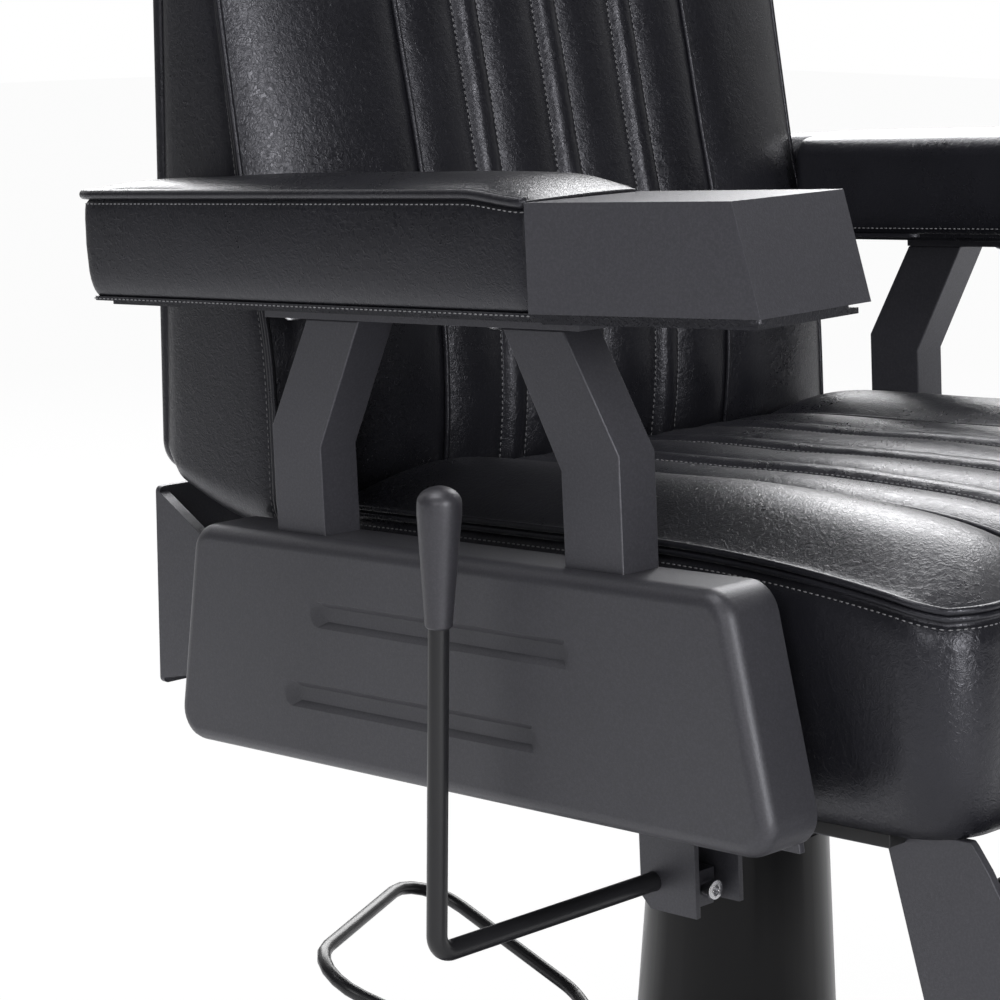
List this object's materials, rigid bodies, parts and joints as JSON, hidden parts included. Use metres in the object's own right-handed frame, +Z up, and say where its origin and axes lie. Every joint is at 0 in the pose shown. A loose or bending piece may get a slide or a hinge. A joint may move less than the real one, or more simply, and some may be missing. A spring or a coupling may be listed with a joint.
{
  "type": "barber chair",
  "caption": "Reclining barber chair with a padded seat, back and headrest, metal-ended armrests, a calf rest with a flip-up foot plate, and a pedal-pumped swivel column on a round base.",
  "frame": {"origin": "on the floor, under the middle of the round base and on the column's axis", "axes": "+Z is up, the sitter faces -Y, and -X is the sitter's right, the side with the recline lever"},
  "size_m": [0.723, 0.9573, 1.1761],
  "materials": {
    "coated_metal": "charcoal black powder coat, fine texture",
    "leather": "black, semi-gloss, fine wrinkled grain",
    "black_rod": "black, satin",
    "gloss_black": "black, semi-gloss",
    "grip_black": "dark, fine texture",
    "bright_steel": "plain",
    "dark_steel": "blackened",
    "chrome": "polished",
    "rubber": "matt black",
    "plywood": "unfinished board"
  },
  "bodies": {
    "base": {"base_disc": "coated_metal", "base_ring": "rubber", "pump_foot": "rubber", "pump_body": "coated_metal", "base_bolts": "dark_steel", "pedal_pin": "bright_steel", "column_shroud": "gloss_black"},
    "pedal": {"pump_pedal": "black_rod"},
    "lift": {"ram": "bright_steel"},
    "seat": {"swivel_hub": "coated_metal", "mounting_plate": "coated_metal", "mounting_bolts": "dark_steel", "seat_frame": "coated_metal", "seat_board": "plywood", "seat_cushion": "leather", "side_plate_right": "coated_metal", "side_plate_left": "coated_metal", "side_cover_right": "coated_metal", "side_cover_left": "coated_metal", "post_rear_right": "coated_metal", "post_front_right": "coated_metal", "post_rear_left": "coated_metal", "post_front_left": "coated_metal", "arm_plate_right": "coated_metal", "arm_plate_left": "coated_metal", "arm_screws": "bright_steel", "arm_board_right": "leather", "arm_board_left": "leather", "arm_pad_right": "leather", "arm_pad_left": "leather", "arm_cap_right": "coated_metal", "arm_cap_left": "coated_metal", "lever_bracket": "coated_metal", "lock_cylinder": "coated_metal", "lock_bracket": "coated_metal", "hinge_pins": "bright_steel", "footrest_arm_right": "coated_metal", "footrest_arm_left": "coated_metal", "calf_board": "coated_metal", "calf_cushion": "leather", "footrest_tube": "coated_metal"},
    "lever": {"lever_rod": "black_rod", "lever_grip": "grip_black", "lever_block": "coated_metal", "lever_screw": "bright_steel"},
    "release": {"release_pin": "bright_steel"},
    "lock": {"lock_rod": "bright_steel"},
    "back": {"back_frame": "coated_metal", "back_bolts": "bright_steel", "back_shell": "leather", "back_cushion": "leather", "headrest_bracket": "coated_metal", "lock_pin": "bright_steel"},
    "knob": {"headrest_knob": "grip_black"},
    "mast": {"headrest_bar": "chrome", "headrest_pin": "bright_steel"},
    "headrest": {"headrest_board": "coated_metal", "headrest_cushion": "leather"},
    "footplate": {"foot_plate": "coated_metal", "foot_mat": "rubber"}
  },
  "joints": [
    {"name": "pedal_pump", "type": "hinge", "parent": "base", "child": "pedal", "pos_m": [-0.02611, 0.05402, 0.082], "axis": [-0.9003, -0.4352, 0], "range_deg": [0, 14], "stiffness_Nm_per_rad": 20, "springref_deg": -17.19},
    {"name": "seat_lift", "type": "slide", "parent": "base", "child": "lift", "axis": [0, 0, 1], "range_m": [0, 0.15]},
    {"name": "seat_swivel", "type": "hinge", "parent": "lift", "child": "seat", "pos_m": [0, 0, 0.33], "axis": [0, 0, 1], "continuous": true},
    {"name": "back_recline", "type": "hinge", "parent": "seat", "child": "back", "pos_m": [0, 0.17913, 0.44024], "axis": [-1, 0, 0], "range_deg": [0, 40]},
    {"name": "lock_stroke", "type": "slide", "parent": "seat", "child": "lock", "axis": [0, -0.9979, 0.0645], "range_m": [0, 0.06499]},
    {"name": "lever_pull", "type": "hinge", "parent": "seat", "child": "lever", "pos_m": [-0.25, -0.07817, 0.31057], "axis": [-1, 0, 0], "range_deg": [0, 16], "stiffness_Nm_per_rad": 4, "springref_deg": -14.32},
    {"name": "release_stroke", "type": "slide", "parent": "seat", "child": "release", "axis": [0, 0.9979, -0.0645], "range_m": [0, 0.015]},
    {"name": "headrest_height", "type": "slide", "parent": "back", "child": "mast", "axis": [0, 0, 1], "range_m": [0, 0.1]},
    {"name": "headrest_tilt", "type": "hinge", "parent": "mast", "child": "headrest", "pos_m": [0, 0.3078, 1.1025], "axis": [-1, 0, 0], "range_deg": [-10, 35]},
    {"name": "headrest_lock", "type": "hinge", "parent": "back", "child": "knob", "pos_m": [0, 0.3148, 0.955], "axis": [0, -1, 0], "range_deg": [0, 90]},
    {"name": "footplate_flip", "type": "hinge", "parent": "seat", "child": "footplate", "pos_m": [0, -0.49589, 0.14644], "axis": [-1, 0, 0], "range_deg": [0, 75]}
  ],
  "couplings": [
    {"joint": "lock_stroke", "follows": "back_recline", "m_per_rad": 0.093082},
    {"joint": "release_stroke", "follows": "lever_pull", "m_per_rad": 0.053673}
  ]
}
